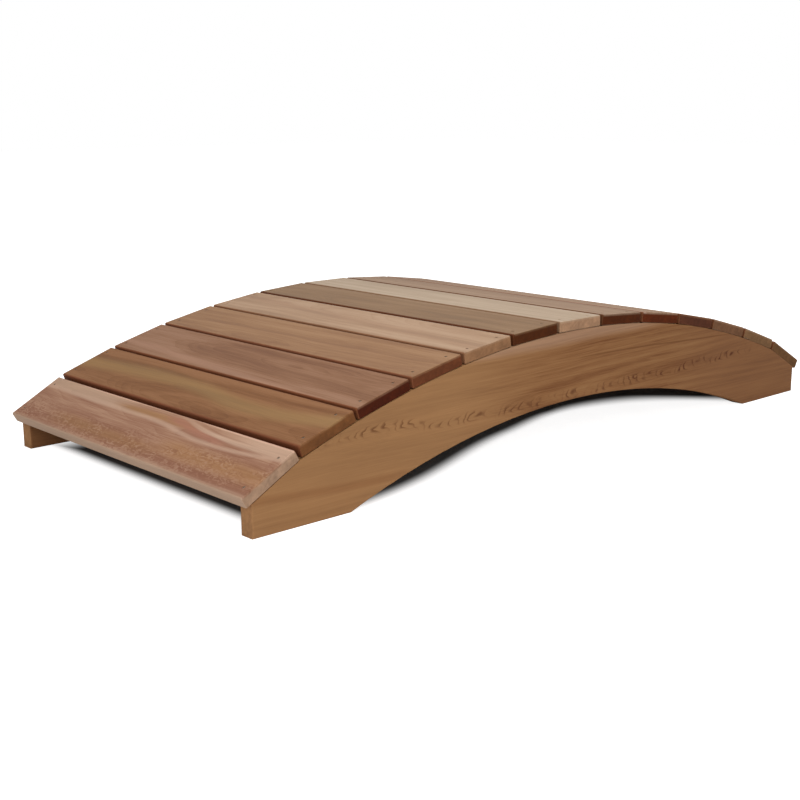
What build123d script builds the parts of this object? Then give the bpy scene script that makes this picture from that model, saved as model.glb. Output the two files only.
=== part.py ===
from build123d import *
import math
import os

# Low arched garden footbridge in cedar: boards laid across two sawn side stringers, with no rails.
# X runs along the walk, Y across it and Z up. The origin is on the ground, under the crown.
# All lengths are in millimetres and all angles in degrees.

# Deck boards, planed with rounded edges
board_width = 142.9
board_thickness = 25.4
board_length = 914.4
board_edge_radius = 3.6
board_end_chamfer = 2.0
arc_boards = 11
board_gap = 5.8

# Curve that the deck follows, and the straight ramp at each end
deck_radius = 2200.0
ramp_slope = 28.7
ramp_overhang = 14.0

# Side stringers, each sawn from one wide plank
stringer_thickness = 38.1
stringer_depth = 158.0
nose_height = 68.0
foot_length = 236.0
stringer_edge_radius = 3.0

# Where the curved seat stops and the straight ramp seat starts, and how far both fall from the crown
board_pitch = board_width + board_gap
arc_half_angle = math.degrees(arc_boards * board_pitch / 2 / deck_radius)
break_x = deck_radius * math.sin(math.radians(arc_half_angle))
arc_fall = deck_radius * (1 - math.cos(math.radians(arc_half_angle)))
ramp_length = board_gap / 2 + board_width - ramp_overhang
nose_x = break_x + ramp_length * math.cos(math.radians(ramp_slope))
ramp_fall = ramp_length * math.sin(math.radians(ramp_slope))
crown_height = nose_height + ramp_fall + arc_fall
arch_rise = crown_height - stringer_depth
arch_half_span = nose_x - foot_length


def stringer_outline():
    """Side view: feet, sawn arch below, and the seat for the boards above."""
    with BuildSketch(Plane.XZ) as outline:
        with BuildLine():
            seat = ThreePointArc(
                (-break_x, crown_height - arc_fall),
                (0, crown_height),
                (break_x, crown_height - arc_fall),
            )
            right = Polyline(seat @ 1, (nose_x, nose_height), (nose_x, 0), (arch_half_span, 0))
            arch = ThreePointArc(right @ 1, (0, arch_rise), (-arch_half_span, 0))
            Polyline(arch @ 1, (-nose_x, 0), (-nose_x, nose_height), seat @ 0)
        make_face()
    return outline.sketch


def stringer(outer_y, inward):
    """One side, with its exposed edges eased and the seat under the boards left sharp."""
    plank = extrude(stringer_outline(), stringer_thickness / 2, both=True)
    side_edges = plank.faces().filter_by(Axis.Y).edges()
    below_seat = [edge for edge in side_edges if edge.center().Z < nose_height or edge_is_arch(edge)]
    plank = fillet(below_seat, stringer_edge_radius)
    return Pos(0, outer_y + inward * stringer_thickness / 2, 0) * plank


def edge_is_arch(edge):
    """The sawn arch is the curved edge whose ends stand on the ground."""
    return edge.geom_type == GeomType.CIRCLE and (edge @ 0).Z < nose_height / 2


def board():
    """One board lying flat, its seat on Z 0, long edges rounded and the rims of its ends chamfered."""
    section = RectangleRounded(board_width, board_thickness, board_edge_radius)
    plank = extrude(Plane.XZ * section, board_length / 2, both=True)
    plank = chamfer(plank.faces().filter_by(Axis.Y).edges(), board_end_chamfer)
    return Pos(0, 0, board_thickness / 2) * plank


def board_seats():
    """Middle of each board's seat and its slope, from the -X end to the +X end."""
    to_middle = board_gap / 2 + board_width / 2
    ramp_x = break_x + to_middle * math.cos(math.radians(ramp_slope))
    ramp_z = crown_height - arc_fall - to_middle * math.sin(math.radians(ramp_slope))
    seats = [(-ramp_x, ramp_z, -ramp_slope)]
    for index in range(arc_boards):
        angle = math.degrees((index - (arc_boards - 1) / 2) * board_pitch / deck_radius)
        x = deck_radius * math.sin(math.radians(angle))
        z = crown_height - deck_radius * (1 - math.cos(math.radians(angle)))
        seats.append((x, z, angle))
    seats.append((ramp_x, ramp_z, ramp_slope))
    return seats


pieces = {
    "stringer_right": stringer(-board_length / 2, 1),
    "stringer_left": stringer(board_length / 2, -1),
}
for number, (seat_x, seat_z, slope) in enumerate(board_seats(), start=1):
    pieces[f"deck_board_{number:02d}"] = Pos(seat_x, 0, seat_z) * Rot(0, slope, 0) * board()

os.makedirs("parts", exist_ok=True)
for node, shape in pieces.items():
    export_step(shape, f"parts/{node}.step")
print(f"crown {crown_height:.1f}, arch rise {arch_rise:.1f}, stringer length {2 * nose_x:.1f}")
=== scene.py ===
import math
import random

import bmesh
import bpy
from mathutils import Matrix, Vector


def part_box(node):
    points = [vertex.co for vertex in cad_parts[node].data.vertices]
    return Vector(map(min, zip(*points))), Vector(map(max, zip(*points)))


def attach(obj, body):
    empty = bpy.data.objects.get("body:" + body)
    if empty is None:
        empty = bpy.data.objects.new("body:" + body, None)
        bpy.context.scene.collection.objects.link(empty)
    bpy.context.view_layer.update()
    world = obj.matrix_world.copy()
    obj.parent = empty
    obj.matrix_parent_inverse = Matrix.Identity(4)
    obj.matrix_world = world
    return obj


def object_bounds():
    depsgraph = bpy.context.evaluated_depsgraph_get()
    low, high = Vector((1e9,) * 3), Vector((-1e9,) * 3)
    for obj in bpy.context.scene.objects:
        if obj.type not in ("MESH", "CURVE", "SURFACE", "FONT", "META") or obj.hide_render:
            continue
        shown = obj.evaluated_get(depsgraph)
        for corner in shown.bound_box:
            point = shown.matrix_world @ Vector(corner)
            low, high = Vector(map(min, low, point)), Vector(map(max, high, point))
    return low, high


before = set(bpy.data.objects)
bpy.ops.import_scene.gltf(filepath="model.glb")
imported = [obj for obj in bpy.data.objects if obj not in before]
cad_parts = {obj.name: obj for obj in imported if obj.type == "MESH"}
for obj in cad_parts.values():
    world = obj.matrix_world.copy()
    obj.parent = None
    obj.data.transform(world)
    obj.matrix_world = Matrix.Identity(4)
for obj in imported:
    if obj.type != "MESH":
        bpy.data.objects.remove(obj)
cad_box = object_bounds()

# Side stringers: each is one wide plank of old red cedar, flat sawn, so the growth rings meet the face as a
# row of nested arcs along its middle and run as long soft lines above and below. The arch and the seat are
# band-sawn, all faces are planed, and the wood is clear oiled, which gives a low, even sheen.

plank_height = 0.2858

# Cells of noise per metre along the fibres, across the face and out of it. Fibres are drawn as 0.8 mm
# threads in 3 mm bundles, coarser than the real ones, so that they show.
wander_cells = (2.4, 8.0, 8.0)
fibre_cells = (18, 1250, 1250)
bundle_cells = (5, 330, 330)
cloud_cells = (2.6, 26, 26)
curl_cells = (62, 105, 105)
curl_patch_cells = (14, 34, 34)
arc_group_cells = (13, 28, 28)

# The wood's tone from darkest to palest, and the shade and the roughness that go with it
tone_range = (0.3, 0.7)
shade_range = (0.88, 1.1)
roughness_range = (0.58, 0.7)

# The band of the face that courses can use, the lines in the rings, the slant of the curls in radians, and
# the spacing, bow and half width of the row of arcs in metres
course_width_mm = 260
line_width_mm = 5.5
curl_turn = 0.6
arc_pitch = 0.025
arc_bow = 60.0
arc_row = (0.015, 0.004)

# Metres from a board's middle: across, to where its painted edge shading has its full colour, and up, to
# where the painted highlight along the top edge of its end starts and ends
edge_corner = 0.0706
end_top_highlight_heights = (0.0062, 0.0105)


def linear(hex_colour):
    """An sRGB hex colour as the linear RGBA that sockets take."""
    channels = [int(hex_colour[i:i + 2], 16) / 255 for i in (1, 3, 5)]
    return [c / 12.92 if c <= 0.04045 else ((c + 0.055) / 1.055) ** 2.4 for c in channels] + [1.0]


def add_node(tree, kind, inputs=None, **settings):
    """Adds one node, sets its options, and gives each input a value or a link."""
    node = tree.nodes.new(kind)
    for name, value in settings.items():
        setattr(node, name, value)
    for socket, value in (inputs or {}).items():
        if isinstance(value, bpy.types.NodeSocket):
            tree.links.new(value, node.inputs[socket])
        else:
            node.inputs[socket].default_value = value
    return node


def calculate(tree, operation, *values):
    """What one maths node makes of up to three values or links."""
    return add_node(tree, "ShaderNodeMath", dict(enumerate(values)), operation=operation).outputs[0]


def remap(tree, value, start, end, low=0.0, high=1.0, kind="LINEAR"):
    """Goes from low where the value is start to high where it is end, and stays there beyond them."""
    inputs = {0: value, 1: start, 2: end, 3: low, 4: high}
    return add_node(tree, "ShaderNodeMapRange", inputs, interpolation_type=kind).outputs[0]


def ease(tree, value, start, end, low=0.0, high=1.0):
    """The same, but setting off and arriving softly."""
    return remap(tree, value, start, end, low, high, "SMOOTHSTEP")


def curve_through(tree, value, points):
    """What a smooth curve through a few points, all between 0 and 1, makes of a value."""
    curve = add_node(tree, "ShaderNodeFloatCurve", {"Value": value})
    line = curve.mapping.curves[0]
    while len(line.points) < len(points):
        line.points.new(0.5, 0.5)
    for point, place in zip(line.points, points):
        point.location = place
    curve.mapping.update()
    return curve.outputs[0]


def stretched_noise(tree, at, shift, cells, detail, turn=0.0, **inputs):
    """Noise drawn out along the fibres by its number of cells per metre each way."""
    placed = add_node(tree, "ShaderNodeMapping", {0: at, 1: shift, 2: (0, 0, turn), 3: cells}).outputs[0]
    inputs.update({"Vector": placed, "Scale": 1.0, "Detail": detail})
    return add_node(tree, "ShaderNodeTexNoise", inputs).outputs


def ring_noise(tree, radius, width_mm, detail):
    """Noise that changes only with the distance from the pith, about once in a width."""
    inputs = {"W": radius, "Scale": 1000 / width_mm, "Detail": detail}
    return add_node(tree, "ShaderNodeTexNoise", inputs, noise_dimensions="1D").outputs[0]


def shaded(tree, hex_colour, shade):
    """A colour made darker or paler by a factor."""
    inputs = {0: linear(hex_colour)[:3], "Scale": shade}
    return add_node(tree, "ShaderNodeVectorMath", inputs, operation="SCALE").outputs[0]


def blend(tree, mask, under, over):
    """The colour under it where the mask is 0, and the one over it where the mask is 1."""
    return add_node(tree, "ShaderNodeMix", {0: mask, 6: under, 7: over}, data_type="RGBA").outputs[2]


def off_course(tree, along, across, course):
    """How far a point is to the side of a line that bends through a few (along, across) points in mm."""
    span = max(abs(x) for x, y in course)
    where = remap(tree, along, -span / 1000, span / 1000)
    points = [((x / span + 1) / 2, y / course_width_mm + 0.5) for x, y in course]
    reach = course_width_mm / 2000
    middle = remap(tree, curve_through(tree, where, points), 0.0, 1.0, -reach, reach)
    return calculate(tree, "SUBTRACT", across, middle)


def streak_mask(tree, along, across, streak):
    """Where a lengthwise streak of the wood lies: its strength on its course, 0 away from it."""
    away = calculate(tree, "ABSOLUTE", off_course(tree, along, across, streak["course"]))
    half, soft = streak["half"] / 1000, streak["soft"] / 1000
    mask = ease(tree, away, half - soft, half + soft, streak.get("strength", 1.0), 0.0)
    if "reach" in streak:
        start, end = (x / 1000 for x in streak["reach"])
        past = calculate(tree, "SUBTRACT", along, (start + end) / 2)
        past = calculate(tree, "ABSOLUTE", past)
        window = ease(tree, past, (end - start) / 2, (end - start) / 4)
        mask = calculate(tree, "MULTIPLY", mask, window)
    return mask


def wandering(tree, local, sway, seed):
    """The piece's own frame, in which fibres wander sideways by a few millimetres over a hand's length."""
    shift = (seed, seed * 2.3, seed)
    wander = stretched_noise(tree, local, shift, wander_cells, 2.5, Roughness=0.45)["Color"]
    centred = add_node(tree, "ShaderNodeVectorMath", {0: wander, 1: (0.5, 0.5, 0.5)}, operation="SUBTRACT")
    inputs = {0: centred.outputs[0], 1: (0, sway, sway), 2: local}
    return add_node(tree, "ShaderNodeVectorMath", inputs, operation="MULTIPLY_ADD").outputs[0]


def growth_rings(tree, grown, timber, seed):
    """Shells about the pith: broad bands of tone, narrow lines of tone, and the late wood of each year."""
    pith_y, pith_z = timber["pith"]
    from_pith = add_node(
        tree, "ShaderNodeMapping",
        {0: grown, 1: (0, pith_y / 1000, pith_z / 1000), 2: (0, -timber.get("tilt", 0.012), 0)},
        vector_type="TEXTURE",
    )
    flattened = {0: from_pith.outputs[0], 1: (0, 1, 1)}
    from_pith = add_node(tree, "ShaderNodeVectorMath", flattened, operation="MULTIPLY").outputs[0]
    radius = add_node(tree, "ShaderNodeVectorMath", {0: from_pith}, operation="LENGTH").outputs["Value"]
    bands = ring_noise(tree, radius, timber.get("band_mm", 24), 1.5)
    lines = ring_noise(tree, radius, line_width_mm, 2.0)
    ring = calculate(tree, "MULTIPLY_ADD", radius, 1000 / timber["ring_mm"], seed)
    ring = calculate(tree, "MULTIPLY_ADD", lines, 1.6, ring)
    ring = calculate(tree, "FRACT", ring)
    late = calculate(tree, "POWER", ring, 3.0)
    return bands, lines, late


def add_curls(tree, colour, local, grown, patch, tones, seed):
    """Curly figure: short curls that lie across the fibres, in patches, each with a pale and a dark side."""
    curl = stretched_noise(tree, grown, (0, 0, 0), curl_cells, 2.0, curl_turn, Distortion=1.5)[0]
    uneven = stretched_noise(tree, local, (seed * 5, 0, 0), curl_patch_cells, 2.0)[0]
    uneven = remap(tree, uneven, 0.36, 0.62, 0.15, 1.3)
    patch = calculate(tree, "MULTIPLY", patch, uneven)
    dark, _, pale = tones
    for limit, tint in ((0.62, pale), (0.38, dark)):
        side = remap(tree, curl, 0.5, limit)
        side = calculate(tree, "MULTIPLY", side, patch)
        colour = blend(tree, side, colour, linear(tint))
    return colour


def add_arcs(tree, colour, local, along, off, seed):
    """Where a flat-sawn face just touches the rings, each shows as a small dark arc open toward one end."""
    group = stretched_noise(tree, local, (seed * 2, 0, 0), arc_group_cells, 2.5)[0]
    bow = calculate(tree, "MULTIPLY", off, off)
    arc = calculate(tree, "MULTIPLY_ADD", bow, -arc_bow, along)
    arc = calculate(tree, "MULTIPLY", arc, 1 / arc_pitch)
    arc = calculate(tree, "MULTIPLY_ADD", group, 4.5, arc)
    arc = calculate(tree, "FRACT", arc)
    arc = ease(tree, arc, 0.5, 0.95)
    row = ease(tree, calculate(tree, "ABSOLUTE", off), *arc_row)
    group = remap(tree, group, 0.45, 0.58, 0.06, 1.0)
    clear = remap(tree, along, -0.3, 0.6, 0.7, 1.4)
    for part in (row, group, clear):
        arc = calculate(tree, "MULTIPLY", arc, part)
    return blend(tree, arc, colour, linear("#5a3119"))


def cedar(name, place, timber, seed):
    """Planed, clear-oiled red cedar, cut from a log whose growth rings run right through the piece.

    place maps the piece's own frame to the scene: X along the fibres, Y across the face and Z out of it.
    timber says where the pith is, how wide the rings are, and how the tones, streaks, ends and edges look.
    """
    material = bpy.data.materials.new(name)
    material.use_nodes = True
    tree = material.node_tree
    shader = tree.nodes["Principled BSDF"]
    coordinates = add_node(tree, "ShaderNodeTexCoord").outputs
    local = add_node(
        tree, "ShaderNodeMapping",
        {0: coordinates["Object"], 1: place.to_translation(), 2: place.to_euler()},
        vector_type="TEXTURE",
    ).outputs[0]
    grown = wandering(tree, local, timber.get("wander", 22) / 1000, seed)
    split = add_node(tree, "ShaderNodeSeparateXYZ", {0: grown}).outputs
    along, across = split[0], split[1]
    bands, lines, late = growth_rings(tree, grown, timber, seed)
    fibre = stretched_noise(tree, grown, (seed, 0, 0), fibre_cells, 1.0)[0]
    bundle = stretched_noise(tree, grown, (seed * 1.7, 0, 0), bundle_cells, 2.0)[0]
    cloud = stretched_noise(tree, grown, (seed * 3.1, 0, 0), cloud_cells, 3.0, Roughness=0.55)[0]

    # All the patterns add up to one tone, which the colours, the shade of streaks and the sheen follow.
    band_share = timber.get("bands", 0.8)
    late_share = timber.get("late", 0.1)
    tone = calculate(tree, "MULTIPLY_ADD", bands, band_share, 0.5 - band_share / 2)
    shares = (
        (lines, timber.get("lines", 0.35)),
        (cloud, timber.get("clouds", 0.7)),
        (bundle, 0.35),
        (fibre, 0.3),
    )
    for pattern, share in shares:
        level = calculate(tree, "SUBTRACT", pattern, 0.5)
        tone = calculate(tree, "MULTIPLY_ADD", level, share, tone)
    tone = calculate(tree, "MULTIPLY_ADD", late, -late_share, tone)
    tone = calculate(tree, "ADD", tone, late_share * 0.25)
    ramp = add_node(tree, "ShaderNodeValToRGB", {0: tone})
    dark, mid, pale = timber["tones"]
    for element, position, tint in zip(ramp.color_ramp.elements, tone_range, (dark, pale)):
        element.position = position
        element.color = linear(tint)
    ramp.color_ramp.elements.new(0.5).color = linear(mid)
    colour = ramp.outputs[0]

    # Streaks of sapwood or darker heartwood keep the lines of the grain under them. So do pale bands along
    # the front edges of boards 9, 11 and 12, and on board 1 two painted highlights along its rounded edges.
    shade = remap(tree, tone, *tone_range, *shade_range)
    for streak in timber.get("streaks", ()):
        mask = streak_mask(tree, along, across, streak)
        colour = blend(tree, mask, colour, shaded(tree, streak["colour"], shade))
    if "curl" in timber:
        patch = streak_mask(tree, along, across, timber["curl"])
        colour = add_curls(tree, colour, local, grown, patch, timber["tones"], seed)
    if "arcs" in timber:
        off = off_course(tree, along, across, timber["arcs"])
        colour = add_arcs(tree, colour, local, along, off, seed)

    # The long edges of a board are painted with the shade of the narrow gaps between the boards, so most are
    # darker and redder; board 1's front edge is painted paler instead, a painted highlight on its rounded
    # nosing.
    flat = add_node(tree, "ShaderNodeSeparateXYZ", {0: local}).outputs
    for edge_sign, painted_edge_colour, start in timber.get("edges", ()):
        edge = calculate(tree, "MULTIPLY", flat[1], edge_sign)
        edge = ease(tree, edge, start / 1000, edge_corner)
        colour = blend(tree, edge, colour, shaded(tree, painted_edge_colour, shade))

    # End grain drinks the oil and turns darker, and its sawn surface is rough and dull.
    fibre_axis = place.to_3x3() @ Vector((1, 0, 0))
    facing = {0: coordinates["Normal"], 1: fibre_axis}
    facing = add_node(tree, "ShaderNodeVectorMath", facing, operation="DOT_PRODUCT").outputs["Value"]
    end = ease(tree, calculate(tree, "ABSOLUTE", facing), 0.62, 0.9)
    # The end's darkening fades out towards its top edge, which leaves a painted highlight along that edge.
    if "end_top_highlight" in timber:
        end_top_highlight = ease(tree, flat[2], *end_top_highlight_heights, 1.0, 1 - timber["end_top_highlight"])
        end = calculate(tree, "MULTIPLY", end, end_top_highlight)
    speckle = {"Vector": local, "Scale": 110.0, "Detail": 2.0}
    speckle = add_node(tree, "ShaderNodeTexNoise", speckle).outputs[0]
    speckle = remap(tree, speckle, 0.3, 0.7, 0.87, 1.13)
    end_shade = calculate(tree, "MULTIPLY", shade, speckle)
    colour = blend(tree, end, colour, shaded(tree, timber["end"], end_shade))
    tree.links.new(colour, shader.inputs["Base Color"])

    # The oil has soaked in, so the sheen is low, and it is lowest where the tone is palest and on the ends.
    shader.inputs["Specular IOR Level"].default_value = 0.12
    roughness = remap(tree, tone, *tone_range, *roughness_range)
    roughness = calculate(tree, "MULTIPLY_ADD", end, 0.25, roughness)
    tree.links.new(roughness, shader.inputs["Roughness"])
    height = calculate(tree, "MULTIPLY_ADD", late, 0.5, fibre)
    pits = calculate(tree, "MULTIPLY", speckle, end)
    height = calculate(tree, "MULTIPLY_ADD", pits, 1.5, height)
    relief = add_node(tree, "ShaderNodeBump", {"Height": height, "Strength": 0.5, "Distance": 0.00015})
    tree.links.new(relief.outputs[0], shader.inputs["Normal"])
    return material


# A course is where the middle of a streak runs, as (along, across) points in mm from the middle of the face.
# Its reach is the stretch of the piece's length in which it shows, where that isn't all of it.
stringer_timber = dict(
    pith=(0, -75), tilt=0.02, ring_mm=1.1, wander=14,
    band_mm=28, bands=0.3, lines=0.3, clouds=0.42, late=0.06,
    tones=("#6f4324", "#8b603b", "#9a7049"), end="#a0754f",
    arcs=[(-900, 5), (-600, 15), (-450, 0), (0, -5), (450, 0), (900, 20)],
    streaks=[
        dict(
            course=[(-900, 0), (900, 0)], half=200, soft=10, reach=(-1600, -60),
            colour="#9b724b", strength=0.85,
        ),
        dict(
            course=[(-900, 0), (900, 0)], half=200, soft=10, reach=(300, 1500),
            colour="#875c3b", strength=0.7,
        ),
        dict(
            course=[(-900, 129), (900, 129)], half=15, soft=11, reach=(-520, 420),
            colour="#a88367", strength=0.8,
        ),
        dict(
            course=[(-900, -72), (-560, -92), (900, -92)], half=8, soft=6, reach=(-1150, -430),
            colour="#875c39", strength=0.6,
        ),
        dict(
            course=[(-900, 72), (50, 72), (900, 40)], half=1.5, soft=1.5, reach=(-80, 700),
            colour="#6c4324", strength=0.75,
        ),
    ],
)
outer_y = cad_box[1][1]
for side, turn, seed in (("right", 0, 3.0), ("left", 180, 8.0)):
    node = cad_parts[f"stringer_{side}"]
    place = (
        Matrix.Rotation(math.radians(turn), 4, "Z")
        @ Matrix.Translation((0, -outer_y, plank_height / 2))
        @ Matrix.Rotation(math.radians(90), 4, "X")
    )
    node.data.materials.clear()
    node.data.materials.append(cedar(f"planed oiled cedar, {side} stringer", place, stringer_timber, seed))

# Deck boards: thirteen lengths of radius-edge red cedar decking laid across the stringers, edge to edge with
# a narrow gap. Each was sawn from another plank, so each has its own tone, streaks and end grain.

# An edge is given by its side of the board, its colour and where its colour sets in, in mm from the middle.
# The colour is painted shade of the gap between boards, apart from board 1's pale front edge, a painted
# highlight.
back_edge_shade = (1, "#6a3a24", 67.5)
board_timber = [
    dict(
        pith=(30, -90), ring_mm=2.4, wander=26,
        tones=("#845843", "#976e57", "#ab856c"), end="#a08169", end_top_highlight=0.85,
        edges=((-1, "#b59780", 66.5), back_edge_shade),
        curl=dict(course=[(-457, -40), (0, -42), (457, -16)], half=36, soft=18, strength=0.5),
        streaks=[
            dict(
                course=[(-457, -30), (457, -44)], half=16, soft=14, reach=(-360, 160),
                colour="#936946", strength=0.8,
            ),
            dict(
                course=[(-457, -16), (457, -18)], half=20, soft=16, reach=(60, 560),
                colour="#986d48", strength=0.8,
            ),
            dict(course=[(-457, 62), (457, 62)], half=24, soft=6, reach=(-960, 20), colour="#b3927a"),
            dict(course=[(-457, 50), (457, 46)], half=9, soft=6, reach=(-180, 220), colour="#9c7350"),
            dict(
                course=[(-457, 35), (0, 38), (190, 21), (457, 42)], half=5, soft=4,
                colour="#bd9b84", strength=0.7,
            ),
            dict(
                course=[(-457, 44), (100, 50), (155, 42), (457, 30)], half=9, soft=6, reach=(20, 300),
                colour="#9f6d59", strength=0.8,
            ),
            dict(
                course=[(-457, 72), (60, 70), (190, 50), (457, 52)], half=5, soft=3, reach=(30, 900),
                colour="#bd9b84",
            ),
            dict(course=[(-457, 62), (457, 58)], half=19, soft=7, reach=(215, 900), colour="#b6957e"),
            # Painted highlight: a pale line along the rounded back edge.
            dict(course=[(-457, 70), (457, 70)], half=3, soft=2, colour="#cba68e"),
            # Painted highlight: the front face, its rounded edge and the top next to it painted paler.
            dict(course=[(-457, -78), (457, -78)], half=14, soft=8, colour="#b3937c", strength=0.6),
        ],
    ),
    dict(
        pith=(-40, -140), ring_mm=1.8, bands=0.9,
        tones=("#6b4224", "#7e5535", "#8f6545"), end="#6e4526", end_top_highlight=0.8,
        edges=((-1, "#74432a", 64), back_edge_shade),
        streaks=[
            dict(
                course=[(-457, 0), (0, 12), (200, -5), (457, 24)], half=20, soft=16,
                colour="#917049", strength=0.8,
            ),
        ],
    ),
    dict(
        pith=(10, -160), ring_mm=2.0, tones=("#744e36", "#886248", "#98735b"), end="#431807", end_top_highlight=0.5,
        edges=((-1, "#7c4a2e", 67), back_edge_shade),
        streaks=[
            dict(
                course=[(-457, -28), (0, -58), (457, -90)], half=10, soft=8,
                colour="#9f7962", strength=0.8,
            ),
        ],
    ),
    dict(
        pith=(-60, -120), ring_mm=2.2, bands=0.5,
        tones=("#866145", "#967152", "#a17d5e"), end="#63361f", end_top_highlight=0.4,
        edges=((-1, "#824f34", 67), back_edge_shade),
    ),
    dict(
        pith=(50, -150), ring_mm=1.9, bands=0.5,
        tones=("#98795f", "#a9896e", "#b6987e"), end="#8f6849", end_top_highlight=0.3,
        edges=((-1, "#8c6144", 67), back_edge_shade),
        streaks=[
            dict(
                course=[(-457, 32), (0, 2), (457, -30)], half=12, soft=10,
                colour="#9e7d64", strength=0.6,
            ),
        ],
    ),
    dict(
        pith=(-20, -130), ring_mm=1.7, bands=0.5,
        tones=("#785d43", "#86694e", "#92765b"), end="#4a2309", end_top_highlight=0.3,
        edges=((-1, "#5a3018", 64), back_edge_shade),
    ),
    # Board 7, at the crown, has the palest tones: partly its own and partly painted sheen, the grazing
    # reflection on the top of the deck.
    dict(
        pith=(70, -110), ring_mm=2.6, bands=0.5,
        tones=("#a48e77", "#b29c85", "#beaa94"), end="#a37e61", end_top_highlight=0.3,
        edges=((-1, "#8a6a50", 67), (1, "#6a4a36", 66)),
    ),
    dict(
        pith=(-30, -90), ring_mm=2.0, bands=0.8,
        tones=("#866a52", "#967a63", "#a48972"), end="#4c2209", end_top_highlight=0.5,
        edges=((-1, "#5e3a22", 65), back_edge_shade),
    ),
    dict(
        pith=(20, -150), ring_mm=1.8, tones=("#7d5e46", "#93755c", "#a0846d"), end="#58250b", end_top_highlight=0.7,
        edges=((-1, "#6e4228", 66), back_edge_shade),
        streaks=[dict(course=[(-457, -66), (457, -64)], half=7, soft=3, colour="#b39580")],
    ),
    dict(
        pith=(-50, -120), ring_mm=2.3, tones=("#7a5138", "#8b6145", "#9a7150"), end="#573121", end_top_highlight=0.6,
        edges=((-1, "#6e4228", 66), back_edge_shade),
    ),
    dict(
        pith=(40, -100), ring_mm=2.1, wander=30,
        tones=("#8d6a50", "#9f7b60", "#ac8a70"), end="#77533a", end_top_highlight=0.5,
        edges=((-1, "#6e4228", 66), back_edge_shade),
        streaks=[dict(course=[(-457, -60), (0, -48), (457, -56)], half=16, soft=5, colour="#b39580")],
    ),
    dict(
        pith=(-10, -140), ring_mm=1.9, tones=("#8a684e", "#9b795d", "#a98970"), end="#7f5e40", end_top_highlight=0.5,
        edges=((-1, "#6e4228", 66), back_edge_shade),
        streaks=[dict(course=[(-457, -52), (457, -60)], half=18, soft=6, colour="#b39983")],
    ),
    dict(
        pith=(30, -110), ring_mm=2.2, tones=("#7d573d", "#8d684c", "#9a755a"), end="#6f4e31", end_top_highlight=0.5,
        edges=((-1, "#6e4228", 66), (1, "#8a6046", 66)),
    ),
]

# Degrees from one board of the curved deck to the next, and the slope of the first and last board
arc_step = 3.873
ramp_slope = 28.7
middle_board = (len(board_timber) + 1) // 2
board_places = []
for number, timber in enumerate(board_timber, start=1):
    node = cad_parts[f"deck_board_{number:02d}"]
    low, high = (Vector(corner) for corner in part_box(node.name))
    steps = number - middle_board
    on_ramp = number in (1, len(board_timber))
    slope = math.copysign(ramp_slope, steps) if on_ramp else steps * arc_step
    place = (
        Matrix.Translation((low + high) / 2)
        @ Matrix.Rotation(math.radians(slope), 4, "Y")
        @ Matrix.Rotation(math.radians(-90), 4, "Z")
    )
    board_places.append(place)
    node.data.materials.clear()
    node.data.materials.append(cedar(f"planed oiled cedar, board {number}", place, timber, number * 1.7))

# Deck screws: two stainless countersunk screws through each end of each board into the stringer below, each
# driven a little under the surface, so that it sits in a small round pocket with a square driver recess.

screw_across = 0.045
screw_along = 0.437
drift_across = 0.003
drift_along = 0.004
board_half_thickness = 0.0127
head_radius = 0.0031
sides = 24
crease_angle = math.radians(35)
weld_distance = 0.00001

# Rings of a turned solid from one end to the other: (radius, height over the board's face, squareness)
pocket_rings = [
    (0.0, 0.002, 0), (0.0035, 0.002, 0), (0.0035, -0.0002, 0), (0.0033, -0.0017, 0), (0.0, -0.0017, 0),
]
head_rings = [
    (0.0, -0.0042, 0), (0.0018, -0.0042, 0), (head_radius, -0.0012, 0), (head_radius * 0.93, -0.0008, 0),
    (0.0013, -0.0007, 1), (0.0012, -0.0024, 1), (0.0, -0.0026, 0),
]
rng = random.Random(11)


def round_solid(mesh, place, rings):
    """A closed turned solid from its rings, where squareness 1 makes a ring square."""
    loops = []
    for radius, height, squareness in rings:
        loop = []
        for step in range(sides):
            angle = 2 * math.pi * step / sides
            square = 1 / max(abs(math.cos(angle)), abs(math.sin(angle)))
            reach = radius * (1 + (square - 1) * squareness)
            spot = Vector((reach * math.cos(angle), reach * math.sin(angle), height))
            loop.append(place @ spot)
            if radius == 0:
                break
        loops.append([mesh.verts.new(spot) for spot in loop])
    for lower, upper in zip(loops, loops[1:]):
        for step in range(sides):
            following = (step + 1) % sides
            corners = [
                lower[step % len(lower)], lower[following % len(lower)],
                upper[following % len(upper)], upper[step % len(upper)],
            ]
            mesh.faces.new(list(dict.fromkeys(corners)))


def add_mesh(name, mesh):
    """Puts a finished bmesh in the scene as an object."""
    bmesh.ops.recalc_face_normals(mesh, faces=mesh.faces)
    data = bpy.data.meshes.new(name)
    mesh.to_mesh(data)
    mesh.free()
    thing = bpy.data.objects.new(name, data)
    bpy.context.collection.objects.link(thing)
    return thing


def stainless_steel():
    """Cold-headed steel with grime in its sheen."""
    steel = bpy.data.materials.new("stainless steel, cold headed")
    steel.use_nodes = True
    tree = steel.node_tree
    shader = tree.nodes["Principled BSDF"]
    shader.inputs["Base Color"].default_value = linear("#8c8071")
    shader.inputs["Metallic"].default_value = 1.0
    grime = add_node(tree, "ShaderNodeTexNoise", {"Scale": 900.0, "Detail": 2.0}).outputs[0]
    tree.links.new(remap(tree, grime, 0.0, 1.0, 0.25, 0.5), shader.inputs["Roughness"])
    return steel


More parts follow.
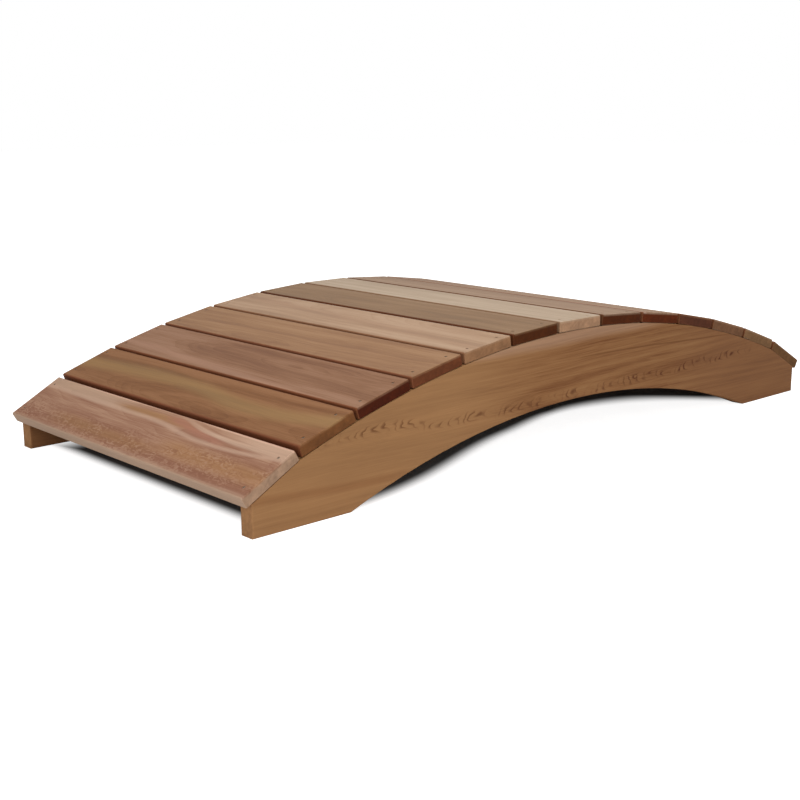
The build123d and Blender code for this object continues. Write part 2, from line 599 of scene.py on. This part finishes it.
steel = stainless_steel()
for number, place in enumerate(board_places, start=1):
    heads, pockets = bmesh.new(), bmesh.new()
    for along in (-screw_along, screw_along):
        for across in (-screw_across, screw_across):
            x = along + rng.uniform(-drift_along, drift_along)
            y = across + rng.uniform(-drift_across, drift_across)
            turn = Matrix.Rotation(rng.uniform(0, math.pi / 2), 4, "Z")
            turned = place @ Matrix.Translation((x, y, board_half_thickness)) @ turn
            round_solid(heads, turned, head_rings)
            round_solid(pockets, turned, pocket_rings)
    screws = add_mesh(f"deck_screws_{number:02d}", heads)
    screws.data.materials.append(steel)
    screws.modifiers.new("crisp edges", "EDGE_SPLIT").split_angle = crease_angle
    for face in screws.data.polygons:
        face.use_smooth = True
    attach(screws, "root")
    cutter = add_mesh(f"screw_pockets_{number:02d}", pockets)
    cutter.hide_render = True
    cutter.hide_set(True)
    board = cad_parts[f"deck_board_{number:02d}"]
    board.modifiers.new("joined faces", "WELD").merge_threshold = weld_distance
    bore = board.modifiers.new("screw pockets", "BOOLEAN")
    bore.object = cutter
    bore.solver = "EXACT"
    shading = board.modifiers.new("soft edges", "WEIGHTED_NORMAL")
    shading.mode = "FACE_AREA"
    shading.weight = 100

# Studio: a white floor, soft boxes overhead, beside the right stringer and at the near end, and a camera
# where the photograph was taken. The floor glows for the camera, which would hide the shadow under the deck,
# so the floor's paper has a painted shadow there: a dark zone, which the real shadow darkens further, with
# an edge that follows the photograph's shadow.

floor_size = 40
floor_grey = 0.88
near_glow = 0.88
glow_distances = (1.2, 2.0)
painted_shadow_grey = 0.15

# The zone's edge: X along the right stringer, and how far the edge lies from the middle of the walk
zone_edge = [(-0.7, 0.45), (-0.5, 0.42), (0.0, 0.25), (0.35, 0.2), (0.7, 0.44)]
zone_half_length = 0.7
zone_side_fade = (-0.047, 0.011)
zone_end_fade = (0.828, 0.873)


def painted_zone(tree, place):
    """0 in the dark zone under the deck, 1 on the open floor. The left half is the right one turned round.

    backward is minus X on the right side and X on the left, so the edge is softest far along the right side.
    """
    spot = add_node(tree, "ShaderNodeSeparateXYZ", {0: place}).outputs
    backward = calculate(tree, "MULTIPLY", spot[0], calculate(tree, "SIGN", spot[1]))
    off_axis = calculate(tree, "ABSOLUTE", spot[1])
    off_middle = calculate(tree, "ABSOLUTE", spot[0])
    where = remap(tree, backward, zone_half_length, -zone_half_length)
    points = [((x + zone_half_length) / (2 * zone_half_length), y) for x, y in zone_edge]
    past_side = calculate(tree, "SUBTRACT", off_axis, curve_through(tree, where, points))
    softness = remap(tree, backward, -0.25, -0.55, 1.0, 2.3)
    past_side = calculate(tree, "DIVIDE", past_side, softness)
    past_side = ease(tree, past_side, *zone_side_fade)
    past_end = ease(tree, off_middle, *zone_end_fade)
    return calculate(tree, "MAXIMUM", past_side, past_end)


def floor_paper():
    """White paper that glows for the camera only, apart from the zone under the deck, painted dark as a
    shadow.
    """
    paper = bpy.data.materials.new("white floor paper")
    paper.use_nodes = True
    tree = paper.node_tree
    shader = tree.nodes["Principled BSDF"]
    shader.inputs["Roughness"].default_value = 1.0
    shader.inputs["Specular IOR Level"].default_value = 0.0
    place = add_node(tree, "ShaderNodeTexCoord").outputs["Object"]
    open_floor = painted_zone(tree, place)
    seen_grey = remap(tree, open_floor, 0.0, 1.0, painted_shadow_grey, floor_grey)
    seen_directly = add_node(tree, "ShaderNodeLightPath").outputs["Is Camera Ray"]
    grey = {0: seen_directly, 2: floor_grey, 3: seen_grey}
    grey = add_node(tree, "ShaderNodeMix", grey, data_type="FLOAT").outputs[0]
    colour = add_node(tree, "ShaderNodeCombineColor", {0: grey, 1: grey, 2: grey}).outputs[0]
    tree.links.new(colour, shader.inputs["Base Color"])
    from_middle = add_node(tree, "ShaderNodeVectorMath", {0: place}, operation="LENGTH").outputs["Value"]
    far_floor = ease(tree, from_middle, *glow_distances)
    glow = remap(tree, far_floor, 0.0, 1.0, near_glow, 1.0)
    glow = calculate(tree, "MULTIPLY", glow, open_floor)
    glow = calculate(tree, "MULTIPLY", glow, seen_directly)
    shader.inputs["Emission Color"].default_value = (1, 1, 1, 1)
    tree.links.new(glow, shader.inputs["Emission Strength"])
    return paper


bpy.ops.mesh.primitive_plane_add(size=floor_size, location=(0, 0, 0))
floor = bpy.context.object
floor.name = "studio_floor"
floor.data.materials.append(floor_paper())

# The camera and reflections see a white world, and the scene gets 0.3 of its light.
world = bpy.data.worlds.new("soft studio")
bpy.context.scene.world = world
world.use_nodes = True
sky = world.node_tree
rays = add_node(sky, "ShaderNodeLightPath").outputs
seen = calculate(sky, "MAXIMUM", rays["Is Camera Ray"], rays["Is Glossy Ray"])
seen = calculate(sky, "MAXIMUM", seen, rays["Is Transmission Ray"])
strength = remap(sky, seen, 0.0, 1.0, 0.3, 1.0)
sky.links.new(strength, sky.nodes["Background"].inputs["Strength"])
sky.nodes["Background"].inputs["Color"].default_value = (1, 1, 1, 1)


def soft_lamp(name, place, aim, size, watts):
    """A square soft box that faces the point it lights."""
    lamp = bpy.data.lights.new(name, "AREA")
    lamp.size = size
    lamp.energy = watts
    thing = bpy.data.objects.new(name, lamp)
    thing.location = place
    thing.rotation_euler = (Vector(aim) - Vector(place)).to_track_quat("-Z", "Y").to_euler()
    bpy.context.collection.objects.link(thing)


soft_lamp("overhead soft box", place=(-0.2, -0.6, 2.7), aim=(0, 0, 0.1), size=2.6, watts=52)
soft_lamp("side soft box", place=(-2.0, -3.2, 1.3), aim=(-0.3, 0, 0.1), size=2.0, watts=40)
soft_lamp("end soft box", place=(-3.3, -0.7, 0.9), aim=(-0.8, 0, 0.1), size=1.6, watts=13)

camera_place = (-2.2058, -2.2843, 0.7731)
camera_heading = 42.192
camera_dip = 12.960
camera_roll = 0.297
focal_pixels = 1275.0
picture_pixels = 800
camera_data = bpy.data.cameras.new("camera")
camera_data.sensor_width = 36.0
camera_data.lens = focal_pixels / picture_pixels * camera_data.sensor_width
camera_data.clip_end = 100
camera = bpy.data.objects.new("camera", camera_data)
bpy.context.collection.objects.link(camera)
camera.matrix_world = (
    Matrix.Translation(camera_place)
    @ Matrix.Rotation(math.radians(-camera_heading), 4, "Z")
    @ Matrix.Rotation(math.radians(90 - camera_dip), 4, "X")
    @ Matrix.Rotation(math.radians(-camera_roll), 4, "Z")
)
bpy.context.scene.camera = camera
bpy.context.scene.view_settings.view_transform = "Standard"
